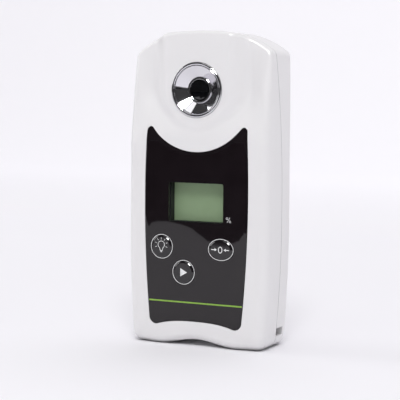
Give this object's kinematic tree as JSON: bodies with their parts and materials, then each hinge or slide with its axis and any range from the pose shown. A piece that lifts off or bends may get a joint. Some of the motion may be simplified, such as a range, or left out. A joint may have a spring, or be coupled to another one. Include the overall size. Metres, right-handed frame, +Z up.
{
  "type": "digital refractometer",
  "caption": "Hand-held digital honey refractometer with a polished sample well over a prism, an LCD window, three domed keys, a strap slot and a screwed battery cover at the back.",
  "frame": {"origin": "on the surface that the feet stand on, under the middle of the case", "axes": "+Z up towards the sample well, -Y the face with the keys and the display, +X to the right of someone who looks at the face"},
  "size_m": [0.0602, 0.025, 0.121],
  "materials": {
    "case_plastic": "moulded ABS, fine satin",
    "panel_acrylic": "back-printed black acrylic, high gloss",
    "window_acrylic": "clear acrylic window",
    "key_dome": "domed black keys with white signs",
    "well_steel": "polished stainless steel",
    "prism_glass": "optical glass, dark against the block behind it",
    "lens_glass": "clear optical lens",
    "display_glass": "reflective liquid-crystal glass, grey green",
    "light_guide": "frosted light guide",
    "black_plastic": "moulded dark grey plastic",
    "seal_rubber": "black silicone rubber",
    "contact_rubber": "layered conductive rubber",
    "circuit_board": "glass-epoxy board with green solder mask",
    "ribbon_film": "amber polyimide film",
    "led_epoxy": "cast epoxy, warm clear",
    "contact_metal": "nickel-plated spring steel",
    "battery_sleeve": "printed steel-blue sleeve, plain",
    "screw_steel": "stainless machine screw"
  },
  "bodies": {
    "housing": {"front_cover": "case_plastic", "rear_cover": "case_plastic", "case_seal": "seal_rubber", "control_panel": "panel_acrylic", "display_window": "window_acrylic", "sample_well": "well_steel", "well_seal": "seal_rubber", "prism": "prism_glass", "prism_seal": "seal_rubber", "prism_holder": "black_plastic", "light_source_board": "circuit_board", "light_source_led": "led_epoxy", "condenser_lens": "lens_glass", "sensor_board": "circuit_board", "line_sensor": "black_plastic", "sensor_ribbon": "ribbon_film", "main_board": "circuit_board", "processor_chip": "black_plastic", "lcd_glass": "display_glass", "lcd_frame": "black_plastic", "lcd_contact_strip_upper": "contact_rubber", "lcd_contact_strip_lower": "contact_rubber", "lcd_backlight": "light_guide", "light_switch": "black_plastic", "start_switch": "black_plastic", "zero_switch": "black_plastic", "battery_spring": "contact_metal", "battery_contact": "contact_metal", "case_screw_1": "screw_steel", "case_screw_2": "screw_steel", "case_screw_3": "screw_steel", "case_screw_4": "screw_steel", "board_screw_1": "screw_steel", "board_screw_2": "screw_steel", "board_screw_3": "screw_steel", "board_screw_4": "screw_steel", "holder_screw_left": "screw_steel", "holder_screw_right": "screw_steel"},
    "light_key": {"light_button": "key_dome", "light_switch_plunger": "black_plastic"},
    "start_key": {"start_button": "key_dome", "start_switch_plunger": "black_plastic"},
    "zero_key": {"zero_button": "key_dome", "zero_switch_plunger": "black_plastic"},
    "battery_door": {"battery_cover": "case_plastic", "battery_cover_seal": "seal_rubber"},
    "door_screw_lower": {"battery_cover_screw_lower": "screw_steel"},
    "door_screw_upper": {"battery_cover_screw_upper": "screw_steel"},
    "cell": {"battery": "battery_sleeve"}
  },
  "joints": [
    {"name": "light_press", "type": "slide", "parent": "housing", "child": "light_key", "axis": [0, 1, 0], "range_m": [0, 0.00045], "stiffness_N_per_m": 400, "springref_m": -0.0005},
    {"name": "start_press", "type": "slide", "parent": "housing", "child": "start_key", "axis": [0, 1, 0], "range_m": [0, 0.00045], "stiffness_N_per_m": 400, "springref_m": -0.0005},
    {"name": "zero_press", "type": "slide", "parent": "housing", "child": "zero_key", "axis": [0, 1, 0], "range_m": [0, 0.00045], "stiffness_N_per_m": 400, "springref_m": -0.0005},
    {"name": "battery_door_lift", "type": "slide", "parent": "housing", "child": "battery_door", "axis": [0, 1, 0], "range_m": [0, 0.028]},
    {"name": "lower_screw_turn", "type": "hinge", "parent": "battery_door", "child": "door_screw_lower", "pos_m": [0, 0.0115, 0.0119], "axis": [0, 1, 0], "continuous": true},
    {"name": "upper_screw_turn", "type": "hinge", "parent": "battery_door", "child": "door_screw_upper", "pos_m": [0, 0.0115, 0.07], "axis": [0, 1, 0], "continuous": true},
    {"name": "battery_lift", "type": "slide", "parent": "housing", "child": "cell", "axis": [0, 1, 0], "range_m": [0, 0.014]}
  ],
  "couplings": [
    {"joint": "battery_lift", "follows": "battery_door_lift", "ratio": 0.5}
  ]
}
